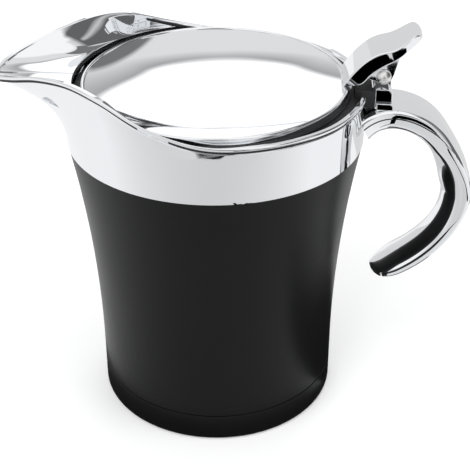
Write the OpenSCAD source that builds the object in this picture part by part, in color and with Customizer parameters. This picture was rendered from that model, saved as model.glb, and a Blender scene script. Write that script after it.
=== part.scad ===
// Insulated gravy boat: double-walled black steel body, chromed pouring
// collar with an open C handle, and a dished lid on a thumb lever.
// Millimetres. The origin is the centre of the foot, on the table.
// +Z is up, the spout points along -X and the handle along +X.

/* [Body] */
// Radius of the foot
base_r = 45.9; // [45:0.1:46.5]
// Height of the seam above the base cup
seam_z = 11.6; // [11:0.1:13]
// Height at which the wall starts to flare
flare_z = 20; // [18:1:22]
// Height of the joint between body and collar
joint_z = 109.8; // [109.4:0.1:110.2]
// Radius of the arc that flares the wall
flare_r = 480; // [470:1:490]
// Thickness of each steel wall
steel_t = 0.9; // [0.8:0.05:1]
// Air space between the two walls
air_gap = 5; // [4.8:0.1:5.2]

/* [Collar and spout] */
// Height of the flat rear part of the rim
rim_z = 129.3; // [129.1:0.1:129.5]
// Height of the spout floor
floor_z = 131.6; // [131.4:0.1:131.8]
// How far the spout tip reaches from the axis
tip_x = 80.5; // [79.5:0.1:81.5]
// Wall of the chromed moulding
collar_wall = 2.4; // [2.2:0.1:2.6]
// Radius of the opening in the collar
mouth_r = 50.2; // [50.1:0.1:50.4]
// How far the opening sits towards the spout
mouth_shift = 1.2; // [1.1:0.1:1.3]

/* [Lid] */
// Radius of the lid
lid_r = 48.4; // [48.2:0.1:48.5]
// Height of the bead round the lid
lid_top_z = 131.3; // [131.2:0.1:131.4]
// Depth of the dish in the lid
dish_depth = 7.5; // [7:0.1:7.6]
// Clear radius of the throat under the lid
throat_r = 46; // [45.9:0.1:46.1]
// Height of the seat that the lid closes on
seat_z = 128.1; // [128:0.1:128.2]

/* [Lever and hinge] */
// Distance of the hinge pin from the axis
pin_x = 59.7; // [59.6:0.1:59.9]
// Height of the hinge pin
pin_z = 136.3; // [136.2:0.1:136.4]
// Radius of the hinge pin
pin_r = 1.5; // [1.4:0.05:1.6]
// Radial clearance of the pin in the post
pin_clear = 0.04; // [0.03:0.01:0.06]
// Half the width of the thumb lever
lever_w = 9; // [8.8:0.1:9.2]
// Half the width of the hinge post
post_w = 5; // [4.9:0.1:5.1]

/* [Handle] */
// Half the width of the handle
handle_w = 10.1; // [9.9:0.1:10.3]
// How much wider each side gets at the collar
root_flare = 4.4; // [4:0.1:4.6]
// Thickness of the outer strap
strap_t = 2.2; // [2:0.1:2.4]
// Thickness of the grip at its edges
grip_edge = 3.9; // [3.7:0.1:4.1]
// Largest bulge of the grip towards the fingers
grip_bulge = 4; // [3.6:0.1:4.2]

/* [Hidden] */

$fn = 96;
chrome = "lightgray";
black_coat = "#1c1c1e";
steel = "silver";
rubber = "#2a2a2a";
plastic = "#3a3a3c";

// Outer radius of the body at height z: straight, then an outward arc
function wall_r(z) =
    z <= flare_z ? base_r
    : base_r + flare_r - sqrt(flare_r * flare_r - (z - flare_z) * (z - flare_z));

// Points of the wall from z0 to z1, moved inwards by inset
function wall_pts(z0, z1, inset, steps = 16) =
    [for (i = [0:steps]) let (z = z0 + (z1 - z0) * i / steps) [wall_r(z) - inset, z]];

function reversed(p) = [for (i = [len(p) - 1:-1:0]) p[i]];

// Points of an arc of radius r round a centre, from angle a0 to a1
function arc_pts(cx, cy, r, a0, a1, steps = 6) =
    [for (i = [0:steps]) let (a = a0 + (a1 - a0) * i / steps)
        [cx + r * cos(a), cy + r * sin(a)]];

// Cubic curve with control points a, b, c, d
function cubic(a, b, c, d, t) =
    a * pow(1 - t, 3) + b * 3 * t * pow(1 - t, 2)
    + c * 3 * t * t * (1 - t) + d * pow(t, 3);

// Smooth curve through a list of points, s from 0 to the last index
function spline_at(p, s) =
    let (n = len(p) - 1,
         i = min(floor(s), n - 1),
         t = s - i,
         p0 = p[max(i - 1, 0)], p1 = p[i], p2 = p[i + 1], p3 = p[min(i + 2, n)])
    0.5 * (2 * p1 + (p2 - p0) * t + (2 * p0 - 5 * p1 + 4 * p2 - p3) * t * t
           + (3 * p1 - p0 - 3 * p2 + p3) * t * t * t);

// Solid of a side outline, given as x and z, that reaches half to each side
module upright(half) {
    rotate([90, 0, 0]) linear_extrude(height = 2 * half, center = true) children();
}

// Height at which the steel of both walls ends, just under the collar
steel_top_z = joint_z - 0.2;
top_r = wall_r(joint_z);

module outer_shell() {
    color(black_coat)
    rotate_extrude()
    polygon(concat(wall_pts(seam_z, steel_top_z, 0),
                   reversed(wall_pts(seam_z, steel_top_z, steel_t))));
}

// Plate that closes the double wall, with the dimple of its seal
plate_z = seam_z + 0.4;
plate_r = base_r - steel_t - 0.1;
dimple_r = 8;
dimple_h = 1;
module shell_bottom() {
    color(steel)
    rotate_extrude()
    polygon([[0, plate_z + dimple_h], [dimple_r - 2, plate_z + dimple_h],
             [dimple_r, plate_z], [plate_r, plate_z],
             [plate_r, plate_z + steel_t], [dimple_r + 0.6, plate_z + steel_t],
             [dimple_r - 1.4, plate_z + dimple_h + steel_t],
             [0, plate_z + dimple_h + steel_t]]);
}

// Cup pressed over the foot of the shell, with a groove for the foot ring
cup_corner = 0.9;
cup_edge_z = 0.3;
cup_floor_z = 0.8;
cup_floor_t = 1.4;
groove_r = [36.6, 41];
groove_z = cup_floor_z + 0.6;
module base_cup() {
    inner_r = base_r - steel_t;
    color(black_coat)
    rotate_extrude()
    polygon(concat(
        [[0, cup_floor_z], [groove_r[0] - 0.6, cup_floor_z], [groove_r[0], groove_z],
         [groove_r[1], groove_z], [groove_r[1] + 0.4, cup_edge_z]],
        arc_pts(base_r - cup_corner, cup_edge_z + cup_corner, cup_corner, -90, 0),
        [[base_r, seam_z - 0.5], [base_r - 0.4, seam_z - 0.2],
         [inner_r, seam_z - 0.2], [inner_r, groove_z + cup_floor_t + 1],
         [inner_r - 1, groove_z + cup_floor_t], [0, groove_z + cup_floor_t]]));
}

// Soft ring in the groove: the whole vessel stands on it
module foot_ring() {
    inner = groove_r[0] + 0.2;
    outer = groove_r[1] - 0.2;
    color(rubber)
    rotate_extrude()
    polygon([[inner, groove_z], [inner, 0.3], [inner + 0.4, 0], [outer - 0.4, 0],
             [outer, 0.3], [outer, groove_z]]);
}

// Inner bowl with a flange that is welded to the shell
liner_z = 18;
liner_corner = 9;
liner_inset = 2 * steel_t + air_gap;
neck_r = 47.6;
neck_z = 100;
module inner_liner() {
    corner_z = liner_z + steel_t + liner_corner;
    floor_r = wall_r(corner_z) - liner_inset;
    flange_r = wall_r(steel_top_z - steel_t) - steel_t - 0.05;
    wall_z = [liner_z + liner_corner + 4, neck_z - 12];
    color(steel)
    rotate_extrude()
    polygon(concat(
        [[0, liner_z + steel_t]],
        arc_pts(floor_r - liner_corner, corner_z, liner_corner, -90, 0),
        wall_pts(wall_z[0], wall_z[1], liner_inset),
        [[neck_r, neck_z], [neck_r, steel_top_z],
         [flange_r, steel_top_z], [flange_r, steel_top_z - steel_t],
         [neck_r + steel_t, steel_top_z - steel_t], [neck_r + steel_t, neck_z]],
        reversed(wall_pts(wall_z[0], wall_z[1], liner_inset - steel_t)),
        reversed(arc_pts(floor_r - liner_corner, corner_z,
                         liner_corner + steel_t, -90, 0)),
        [[0, liner_z]]));
}

// Flat gasket between the liner's flange and the collar
gasket_r = [50.4, top_r - 1.6];
gasket_t = 0.8;
module rim_gasket() {
    color(rubber)
    translate([0, 0, steel_top_z])
    difference() {
        cylinder(r = gasket_r[1], h = gasket_t);
        translate([0, 0, -1]) cylinder(r = gasket_r[0], h = gasket_t + 2);
    }
}

// Rim of the collar from the handle round to the spout tip: x, y, z
rim_half = [
    [55.2, 0, rim_z], [52.5, 16, rim_z], [41.5, 35, rim_z], [22, 48, rim_z],
    [0, 51.5, rim_z + 0.2], [-20, 47.4, 133.9], [-36, 39.9, 140],
    [-48, 31.6, 141.8], [-60, 22.8, 140], [-71, 15.2, 136.5],
    [-78, 8, 133.8], [-tip_x, 0, 132.4]];
rim_steps = 44;
rim_one = [for (k = [0:rim_steps]) spline_at(rim_half, k * (len(rim_half) - 1) / rim_steps)];
rim_loop = concat(rim_one, [for (k = [rim_steps - 1:-1:1])
    [rim_one[k][0], -rim_one[k][1], rim_one[k][2]]]);

// How far round towards the spout a rim point lies, from 0 to 1
function spout_part(x) = pow(max(0, min(1, -x / tip_x)), 0.8);

// Outer face of the collar at a rim point, t from the joint to the lip
lip_h = 1.2;
lip_out = 0.5;
skin_r = top_r + 0.1;
function skin_pt(q, t) =
    let (rho = norm([q[0], q[1]]),
         bend = 1.25 + 0.85 * spout_part(q[0]))
    [skin_r + (rho - lip_out - skin_r) * pow(t, bend),
     joint_z + (q[2] - lip_h - joint_z) * t];

// Distance from the axis to the edge of the mouth in the direction of q
function mouth_at(q) =
    let (d = norm([q[0], q[1]]), c = q[0] / d, s = q[1] / d)
    -mouth_shift * c + sqrt(mouth_r * mouth_r - mouth_shift * mouth_shift * s * s);

// Closed section of the collar in the plane of one rim point: radius, height
skin_steps = 9;
basin_steps = 6;
basin_bend = 1.7;
hollow_r = 62;
skirt_t = 1.5;
skirt_h = 2.4;
function collar_section(q) =
    let (rho = norm([q[0], q[1]]),
         h = q[2],
         m = mouth_at(q),
         fz = min(floor_z, h - 0.9),
         lip_in = max(rho - 2.4, m + 0.25),
         cav = [for (j = [1:skin_steps - 1]) skin_pt(q, j / skin_steps)],
         roof = fz - collar_wall)
    concat(
        [for (j = [0:skin_steps]) skin_pt(q, j / skin_steps)],
        [[rho, h - 1], [rho, h - 0.6], [rho - 0.4, h - 0.12], [rho - 0.9, h],
         [max(rho - 1.8, m + 0.4), h - 0.25]],
        [for (j = [basin_steps:-1:0]) let (f = j / basin_steps)
            [m + 0.2 + (lip_in - m) * f, fz + (h - 0.8 - fz) * pow(f, basin_bend)]],
        [[m, fz - 0.4], [m, roof + 0.6]],
        [for (j = [len(cav) - 1:-1:0])
            [max(m + 0.1, min(hollow_r, cav[j][0] - collar_wall)), min(cav[j][1], roof)]],
        [[max(m + 0.1, top_r - collar_wall - 1), joint_z + skirt_h],
         [gasket_r[0], joint_z + skirt_h], [gasket_r[0], steel_top_z + gasket_t],
         [top_r - skirt_t, steel_top_z + gasket_t], [top_r - skirt_t, joint_z]]);

// Skin over a ring of sections: the points of each turned to its own place
module ring_of_sections(loop, sections) {
    n = len(loop);
    k = len(sections[0]);
    pts = [for (i = [0:n - 1]) let (d = norm([loop[i][0], loop[i][1]]),
                                    c = loop[i][0] / d, s = loop[i][1] / d)
        for (p = sections[i]) [p[0] * c, p[0] * s, p[1]]];
    faces = [for (i = [0:n - 1]) for (j = [0:k - 1])
        let (a = i * k + j, b = i * k + (j + 1) % k,
             c = ((i + 1) % n) * k + (j + 1) % k, d = ((i + 1) % n) * k + j)
        each [[a, b, c], [a, c, d]]];
    polyhedron(points = pts, faces = faces);
}

// Screws that hold the handle: where they lie and how long they are
screw_y = [-5, 5];
screw_z = 119.2;
screw_r = 1.25;
screw_len = 6.4;
screw_head = [2.6, 1.5];
screw_seat_x = 51.3;
module collar() {
    color(chrome)
    difference() {
        ring_of_sections(rim_loop, [for (q = rim_loop) collar_section(q)]);
        for (y = screw_y)
            translate([screw_seat_x - 1, y, screw_z]) rotate([0, 90, 0])
                cylinder(r = screw_r + 0.3, h = 8, $fn = 32);
    }
}

// Dark moulded ring that lines the throat; its flange is the lid's seat
throat_z = 99;
throat_t = 1.2;
flange_t = 1.4;
bead_z = 104.5;
module throat_ring() {
    tube_r = throat_r + throat_t;
    color(plastic)
    union() {
        rotate_extrude()
        polygon([[throat_r, throat_z], [tube_r, throat_z], [tube_r, bead_z - 1.5],
                 [tube_r - 0.6, bead_z - 1.1], [tube_r - 0.6, bead_z + 1.1],
                 [tube_r, bead_z + 1.5], [tube_r, joint_z + 1],
                 [tube_r + 0.6, joint_z + skirt_h], [tube_r + 0.6, seat_z],
                 [throat_r + 0.5, seat_z], [throat_r, seat_z - 0.5]]);
        difference() {
            translate([-mouth_shift, 0, seat_z - flange_t])
                cylinder(r = mouth_r - 0.1, h = flange_t);
            translate([0, 0, throat_z]) cylinder(r = tube_r + 0.3, h = 40);
        }
    }
}

// Soft bead between the throat ring and the liner
bead_r = 0.7;
module throat_seal() {
    groove = throat_r + throat_t - 0.6;
    color(rubber)
    rotate_extrude()
    polygon(concat([[groove, bead_z - 0.9]],
        arc_pts(neck_r - bead_r, bead_z, bead_r, -80, 80),
        [[groove, bead_z + 0.9]]));
}

// Side outline of the handle's outer face, from the collar to the free end
handle_a = [[52, 121.8], [60, 126.2], [76.5, 126.6], [86, 111.5]];
handle_b = [[86, 111.5], [91.7, 102.8], [95.9, 96], [95, 87.5]];
handle_c = [[95, 87.5], [93.6, 74.6], [82, 57], [61.2, 50.2]];
curve_steps = 12;
function chain(list) = [for (k = [0:len(list) - 1])
    for (i = [(k == 0 ? 0 : 1):curve_steps])
        cubic(list[k][0], list[k][1], list[k][2], list[k][3], i / curve_steps)];
handle_line = chain([handle_a, handle_b, handle_c]);

// Unit vector across a line of points, to the right of its direction
function across(p, i) =
    let (a = p[max(i - 1, 0)], b = p[min(i + 1, len(p) - 1)], d = (b - a) / norm(b - a))
    [d[1], -d[0]];
function shifted(p, d) = [for (i = [0:len(p) - 1]) p[i] + across(p, i) * d];

// The free end is a tongue with a round tip, as seen from above
tip_start_x = 72;
tip_len = 11.1;
tongue_z = 80;
function tongue(x) = sqrt(max(0.06, 1 - pow(max(0, tip_start_x - x) / tip_len, 2)));

// Plan of the strap: parallel sides that flare where they meet the collar
flare_x = [50, 66];
flare_top = root_flare * 1.5;
flare_steps = 8;
plan_x = 100;
module strap_plan() {
    side = [for (i = [0:flare_steps]) let (f = i / flare_steps)
        [flare_x[0] + (flare_x[1] - flare_x[0]) * f,
         handle_w + flare_top * pow(1 - f, 2)]];
    polygon(concat(side, [[plan_x, handle_w], [plan_x, -handle_w]],
                   [for (p = reversed(side)) [p[0], -p[1]]]));
}
module tongue_plan() {
    side = [for (i = [0:flare_steps]) let (f = i / flare_steps,
        x = tip_start_x - tip_len * sin(90 * (1 - f))) [x, handle_w * tongue(x)]];
    polygon(concat(side, [[plan_x, handle_w], [plan_x, -handle_w]],
                   [for (p = reversed(side)) [p[0], -p[1]]]));
}

// Strap with the solid root and the hinge post that stands on it
post_x = [56.6, 62.9];
boss_r = 3.05;
root_steps = 7;
root_under = [[50, 110.6], [53, 114.9], [54.4, 116.6], [56.4, 117.7]];
module handle_shell() {
    strap = [for (i = [0:len(handle_line) - 2]) handle_line[i]];
    inner = shifted(strap, strap_t);
    under = shifted(handle_line, strap_t + grip_edge);
    root = [for (i = [0:root_steps]) handle_line[i]];
    root_end = [for (i = [root_steps:-1:4]) under[i]];
    color(chrome)
    difference() {
        union() {
            intersection() {
                union() {
                    upright(20) polygon(concat(strap, reversed(inner)));
                    upright(20) polygon(concat(root, root_end, reversed(root_under)));
                }
                union() {
                    translate([0, 0, tongue_z]) linear_extrude(height = 60) strap_plan();
                    translate([0, 0, 40]) linear_extrude(height = tongue_z - 40) tongue_plan();
                }
            }
            upright(post_w) {
                polygon([[53, 118], [64, 119], [64, 124.3], [post_x[1], 126],
                         [post_x[1], pin_z], [post_x[0], pin_z],
                         [post_x[0], 131], [54.4, 128.6], [53, 126]]);
                translate([(post_x[0] + post_x[1]) / 2, pin_z])
                    circle(r = boss_r, $fn = 48);
            }
        }
        translate([0, 0, joint_z - 5]) cylinder(r = skin_r + 0.35, h = 40);
        translate([0, 0, rim_z - lip_h - 0.3]) cylinder(r = rim_half[0][0] + 0.15, h = 20);
        translate([pin_x, 0, pin_z]) rotate([90, 0, 0])
            cylinder(r = pin_r + pin_clear, h = 40, center = true, $fn = 64);
        for (y = screw_y)
            translate([50, y, screw_z]) rotate([0, 90, 0])
                cylinder(r = screw_r, h = screw_seat_x + screw_len - 50, $fn = 32);
    }
}

// Inner half of the handle: a rounded band that the fingers close round,
// with a full nose that wraps the end of the strap
nose_steps = 6;
nose_part = 0.9 / curve_steps;
swell_steps = 8;
fade_from = 18;
fade = 0.65;
grip_w = handle_w - 0.3;
function bulge_at(i) = grip_bulge * min(1, (i - root_steps + 0.3) / swell_steps)
    * (1 - fade * max(0, i - fade_from) / (len(handle_line) - 1 - fade_from));
function grip_section(w, outer, edge, bulge) = concat(
    [[-w, outer], [w, outer]],
    [for (a = [0:15:180]) [w * cos(a), edge + bulge * pow(sin(a), 0.8)]]);
module handle_grip() {
    last = len(handle_line) - 2;
    edge = strap_t + grip_edge;
    band = [for (i = [root_steps:last]) let (p = handle_line[i], up = p[1] > tongue_z,
            s = up ? 1 : tongue(p[0]))
        [p, across(handle_line, i),
         grip_section(grip_w * s, strap_t + 0.05, edge * (0.5 + 0.5 * s), bulge_at(i) * s)]];
    nose = [for (j = [0:nose_steps]) let (
            t = 1 - nose_part * (1 - j / nose_steps),
            p = cubic(handle_c[0], handle_c[1], handle_c[2], handle_c[3], t),
            s = tongue(p[0]))
        [p, across(handle_line, last + 1),
         grip_section(grip_w * s, 2.4 * (1 - s), edge * (0.5 + 0.5 * s),
                      bulge_at(last + 1) * s)]];
    stations = concat(band, nose);
    k = len(stations[0][2]);
    pts = [for (st = stations) for (p = st[2])
        [st[0][0] + st[1][0] * p[1], p[0], st[0][1] + st[1][1] * p[1]]];
    m = len(stations);
    faces = concat(
        [for (i = [0:m - 2]) for (j = [0:k - 1])
            let (a = i * k + j, b = i * k + (j + 1) % k,
                 c = (i + 1) * k + (j + 1) % k, d = (i + 1) * k + j)
            each [[a, b, c], [a, c, d]]],
        [[for (j = [k - 1:-1:0]) j]],
        [[for (j = [0:k - 1]) (m - 1) * k + j]]);
    color(chrome) polyhedron(points = pts, faces = faces);
}

module handle_screws() {
    color(steel)
    for (y = screw_y)
        translate([screw_seat_x - screw_head[1], y, screw_z]) rotate([0, 90, 0]) {
            cylinder(r = screw_head[0], h = screw_head[1], $fn = 48);
            cylinder(r = screw_r, h = screw_head[1] + screw_len, $fn = 32);
        }
}

// Pressed lid with a raised bead and a shallow dish
bead_w = 1.5;
lid_under_z = seat_z + 0.8;
dish_r = lid_r - bead_w;
dish_edge_z = lid_top_z - 0.7;
ball_r = (dish_r * dish_r + dish_depth * dish_depth) / (2 * dish_depth);
function dish_z(r) = dish_edge_z - dish_depth + ball_r - sqrt(ball_r * ball_r - r * r);
sheet_t = 1.2;
dish_steps = 20;
stud_r = 0.9;
stud_len = 4;
stud_x = 46.4;
stud_y = [-4, 4];
module lid_top() {
    function dish_pts(last, drop) = [for (i = [0:last])
        let (r = dish_r * i / dish_steps) [r, dish_z(r) - drop]];
    color(chrome)
    difference() {
        rotate_extrude()
        polygon(concat(
            dish_pts(dish_steps, 0),
            arc_pts(dish_r + bead_w / 2, lid_top_z - bead_w / 2, bead_w / 2, 160, 20),
            [[lid_r, lid_top_z - bead_w / 2 - 0.3], [lid_r, lid_under_z],
             [throat_r - 2, lid_under_z]],
            reversed(dish_pts(dish_steps - 2, sheet_t))));
        for (y = stud_y)
            translate([stud_x, y, lid_under_z - 1]) cylinder(r = stud_r, h = 5, $fn = 32);
    }
}

// Tray that closes the lid from below and leaves an air space
tray_r = throat_r - 1;
tray_z = 120.6;
tray_t = 0.9;
module lid_liner() {
    color(steel)
    rotate_extrude()
    polygon([[0, tray_z], [tray_r - 2.4, tray_z], [tray_r - 0.6, tray_z + 1.6],
             [tray_r, lid_under_z], [tray_r - 1, lid_under_z],
             [tray_r - 1.6, tray_z + 2], [tray_r - 2.8, tray_z + tray_t],
             [0, tray_z + tray_t]]);
}

// Thin ring under the edge of the lid
module lid_seal() {
    color(rubber)
    rotate_extrude()
    polygon([[throat_r + 0.6, lid_under_z], [throat_r + 0.8, seat_z + 0.3],
             [throat_r + 1.6, seat_z + 0.3], [throat_r + 1.8, lid_under_z]]);
}

// Side outline of the thumb lever: its top, its tip and its underside
lever_top_a = [[45.6, 133.1], [49.6, 139.6], [54, 144.8], [60, 145.9]];
lever_top_b = [[60, 145.9], [64.2, 146.7], [66.4, 149.2], [69.4, 151.2]];
lever_tip = [[70.6, 151.4], [71.9, 150.8], [72.7, 149.9], [72.3, 149.1]];
lever_under = [[71.3, 148.3], [68.1, 146], [64.2, 142.9], [59.3, 140.1],
               [55.3, 137], [53.4, 134.6], [51.6, 133.3], [48.6, 132.9]];
lever_foot_x = [45.2, 48.6];
// Seen from above the tip is half an ellipse: where it starts and how far it reaches
tip_round_x = 62;
tip_round = 10.8;
cheek_t = 2.4;
cheek_gap = 0.4;
cheek_y = post_w + cheek_gap + cheek_t / 2;
module thumb_lever() {
    color(chrome)
    difference() {
        union() {
            intersection() {
                upright(lever_w)
                    polygon(concat(chain([lever_top_a, lever_top_b]), lever_tip, lever_under));
                translate([0, 0, 100]) linear_extrude(height = 80)
                    union() {
                        translate([40, -lever_w]) square([tip_round_x - 40, 2 * lever_w]);
                        translate([tip_round_x, 0]) scale([tip_round / lever_w, 1]) circle(r = lever_w);
                    }
            }
            upright(lever_w) polygon([[lever_foot_x[0], dish_z(lever_foot_x[0]) + 0.1],
                [lever_foot_x[0] + 1.5, lid_top_z + 0.1],
                [lever_foot_x[1], lid_top_z + 0.1], [lever_foot_x[1], 133.1],
                [lever_foot_x[0] + 0.5, 133.2]]);
            for (side = [-1, 1])
                translate([0, side * cheek_y, 0]) upright(cheek_t / 2) {
                    polygon([[54.2, 135.4], [57.6, 133.9], [pin_x, 133.2],
                             [62.4, 134.6], [63.4, 137.2], [65, 143.8], [56, 138]]);
                    translate([pin_x, pin_z]) circle(r = boss_r, $fn = 48);
                }
        }
        translate([pin_x, 0, pin_z]) rotate([90, 0, 0])
            cylinder(r = pin_r, h = 40, center = true, $fn = 64);
        for (y = stud_y)
            translate([stud_x, y, lid_under_z]) cylinder(r = stud_r, h = stud_len, $fn = 32);
    }
}

module lever_studs() {
    color(steel)
    for (y = stud_y)
        translate([stud_x, y, lid_under_z]) cylinder(r = stud_r, h = stud_len, $fn = 32);
}

pin_half = post_w + cheek_gap + cheek_t;
dome_r = 2.7;
cap_r = 2.5;
module hinge_pin() {
    color(steel)
    translate([pin_x, 0, pin_z]) rotate([90, 0, 0]) {
        translate([0, 0, -pin_half - 1]) cylinder(r = pin_r, h = 2 * pin_half + 1, $fn = 64);
        translate([0, 0, pin_half]) rotate_extrude($fn = 64)
            polygon(concat([[0, 0]], arc_pts(0, 0, dome_r, 0, 90, 10)));
    }
}

module pin_cap() {
    color(steel)
    translate([pin_x, pin_half, pin_z]) rotate([-90, 0, 0])
    difference() {
        rotate_extrude($fn = 64)
            polygon(concat([[0, 0]], arc_pts(0, 0, cap_r, 0, 90, 10)));
        translate([0, 0, -0.1]) cylinder(r = pin_r, h = 1.1, $fn = 64);
    }
}

washer_t = 0.3;
module hinge_washers() {
    color(plastic)
    for (side = [-1, 1])
        translate([pin_x, side * (post_w + cheek_gap / 2), pin_z]) rotate([90, 0, 0])
        difference() {
            cylinder(r = 2.6, h = washer_t, center = true, $fn = 48);
            cylinder(r = pin_r + 0.02, h = 1, center = true, $fn = 64);
        }
}

outer_shell();
shell_bottom();
base_cup();
foot_ring();
inner_liner();
rim_gasket();
collar();
throat_ring();
throat_seal();
handle_shell();
handle_grip();
handle_screws();
lid_top();
lid_liner();
lid_seal();
thumb_lever();
lever_studs();
hinge_pin();
pin_cap();
hinge_washers();
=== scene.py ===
"""Looks of the insulated gravy boat, built round its packed model.

The file is laid out as an add-on: sizes and colours are scene properties, and
every group of pieces has its own operator. Lengths in the tables are
millimetres in the model's own frame: the spout points along -X, the handle
along +X and the foot stands on z = 0.
"""

import math
from collections import namedtuple

import bmesh
import bpy
from bpy.props import FloatProperty, FloatVectorProperty, IntProperty, PointerProperty
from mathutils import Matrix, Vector


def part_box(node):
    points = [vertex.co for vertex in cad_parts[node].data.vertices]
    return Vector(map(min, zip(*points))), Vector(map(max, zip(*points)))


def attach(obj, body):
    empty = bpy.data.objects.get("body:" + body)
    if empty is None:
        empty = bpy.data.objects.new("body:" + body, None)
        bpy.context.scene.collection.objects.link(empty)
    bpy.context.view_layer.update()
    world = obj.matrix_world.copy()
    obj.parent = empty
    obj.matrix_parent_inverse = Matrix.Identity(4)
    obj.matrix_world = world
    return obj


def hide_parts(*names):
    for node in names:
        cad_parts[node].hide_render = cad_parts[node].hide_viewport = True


bl_info = {
    "name": "Insulated gravy boat",
    "version": (1, 0, 0),
    "blender": (4, 5, 0),
    "location": "View3D > Sidebar > Gravy Boat",
    "description": "Builds the visible pieces and finishes of an insulated gravy boat",
    "category": "Object",
}

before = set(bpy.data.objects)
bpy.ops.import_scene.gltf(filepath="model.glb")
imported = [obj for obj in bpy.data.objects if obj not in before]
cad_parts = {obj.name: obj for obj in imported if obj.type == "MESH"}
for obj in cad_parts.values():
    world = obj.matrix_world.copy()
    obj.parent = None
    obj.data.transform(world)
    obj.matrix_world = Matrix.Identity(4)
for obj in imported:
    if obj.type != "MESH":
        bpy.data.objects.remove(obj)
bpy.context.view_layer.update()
MM = 0.001
EYE = 3.05  # Radius of the post and the cheeks round the pin
BEYOND = 99  # Depth that no section of the handle reaches

# Rim of the collar from the handle round to the spout tip: x, y, z
RIM_HALF = (
    (55.2, 0, 129.3), (52.5, 16, 129.3), (41.5, 35, 129.3), (22, 48, 129.3),
    (0, 51.5, 129.5), (-20, 47.4, 133.9), (-36, 39.9, 140), (-48, 31.6, 141.8),
    (-60, 22.8, 140), (-71, 15.2, 136.5), (-78, 8, 133.8), (-80.5, 0, 132.4),
)
# Outer face of the handle seen from the side, as three cubic curves: x, z
HANDLE_CURVES = (
    ((52, 121.8), (60, 126.2), (76.5, 126.6), (86, 111.5)),
    ((86, 111.5), (91.7, 102.8), (95.9, 96), (95, 87.5)),
    ((95, 87.5), (93.6, 74.6), (82, 57), (61.2, 50.2)),
)
# Side of the handle along those curves: place (24 steps to a curve), depth of the groove
# between strap and grip, its width, depth at which the side starts to turn under, lean it
# starts with in degrees, radius of the turn, whole depth, radius of the outer edge
HANDLE_SIDES = (
    (0, 3.0, 0.5, 5.2, 0, 3.3, 10.0, 1.2), (18, 3.0, 0.45, 4.9, 0, 3.3, 10.1, 1.4),
    (22, 2.2, 0.3, 4.6, 0, 3.6, 9.4, 1.8), (25, 1.5, 0.15, 3.7, 0, 4.2, 9.2, 2.0),
    (29, 0.9, 0.08, 2.9, 0, 4.7, 9.9, 2.2), (34, 0.8, 0.05, 3.0, 0, 4.8, 11.0, 2.2),
    (38, 0.8, 0.05, 3.2, 0, 4.8, 11.6, 2.2), (44, 0.5, 0.02, 3.5, 1, 4.8, 11.3, 2.0),
    (50, 0.5, 0.01, 3.4, 6, 4.9, 10.2, 1.7), (53, 2.6, 0.01, 3.4, 15, 5.0, 9.2, 1.4),
    (54.5, 3.0, 0.1, 3.4, 18, 5.0, 8.8, 1.3), (55.7, 3.0, 0.6, 3.4, 20, 5.0, 8.4, 1.2),
    (57, 2.9, 0.7, 3.35, 24, 5.0, 8.1, 1.1), (61, 2.6, 0.9, 3.2, 27, 5.0, 7.5, 1.0),
    (66, 2.4, 0.9, 3.0, 27, 4.8, 7.2, 1.0), (69, 2.3, 0.8, 2.9, 27, 4.2, 6.2, 1.0),
    (70.5, 1.9, 0.7, 2.6, 30, 3.2, 5.0, 1.0), (72, 1.4, 0.4, 1.8, 20, 1.6, 3.2, 0.8),
)
# Thumb lever seen from the side: its top as cubic curves, its tip and underside
LEVER_TOP = (
    ((45.6, 133.1), (49.6, 139.6), (54, 144.8), (60, 145.9)),
    ((60, 145.9), (64.2, 146.7), (66.4, 149.2), (69.4, 151.2)),
)
LEVER_TIP = ((70.6, 151.4), (71.9, 150.8), (72.5, 150.1))
LEVER_UNDER = (
    (48.6, 132.9), (51.6, 133.3), (53.4, 134.6), (55.3, 137), (59.3, 140.1),
    (64.2, 142.9), (68.1, 146), (71.3, 148.3), (72.4, 149.3),
)


def low(node, axis):
    """Lowest coordinate of a node of the packed model, in metres."""
    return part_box(node)[0][axis]


def high(node, axis):
    """Highest coordinate of a node of the packed model, in metres."""
    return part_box(node)[1][axis]


def number(name, description, default, **more):
    """A number property."""
    return FloatProperty(name=name, description=description, default=default, **more)


def length(name, description, default):
    """A length property in metres."""
    return number(name, description, default, unit="LENGTH", precision=5)


def colour(name, description, default):
    """A colour property."""
    return FloatVectorProperty(name=name, description=description, default=default,
                               subtype="COLOR", size=3, min=0, max=1)


class BodySizes(bpy.types.PropertyGroup):
    """Sizes of the black body."""

    foot: length("Foot radius", "Radius of the body at the foot", high("base_cup", 0))
    seam: length("Seam height", "Height of the seam above the base cup", low("outer_shell", 2))
    top: length("Wall top", "Height at which the steel wall ends", high("outer_shell", 2))
    flare_start: length("Flare start", "Height at which the wall starts to flare", 0.02)
    flare_arc: length("Flare arc", "Radius of the arc that flares the wall", 0.48)
    wall: length("Wall", "Thickness of the steel wall", 0.0009)
    around: IntProperty(name="Steps around", description="Faces round the body",
                        default=160, min=24)
    upward: IntProperty(name="Steps up", description="Faces up the wall", default=36, min=8)


class CollarSizes(bpy.types.PropertyGroup):
    """Sizes of the chromed collar."""

    joint: length("Joint height", "Height of the joint with the body", low("collar", 2))
    wall: length("Wall", "Thickness of the moulding", 0.0024)
    spout_floor: length("Spout floor", "Height of the spout floor", 0.1316)
    mouth: length("Mouth radius", "Radius of the opening", 0.0502)
    mouth_shift: length("Mouth shift", "How far the opening sits towards the spout", 0.0012)
    lip: length("Lip height", "Height of the lip on the rim", 0.0012)
    lip_out: length("Lip overhang", "How far the lip stands out from the skin", 0.0005)


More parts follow.
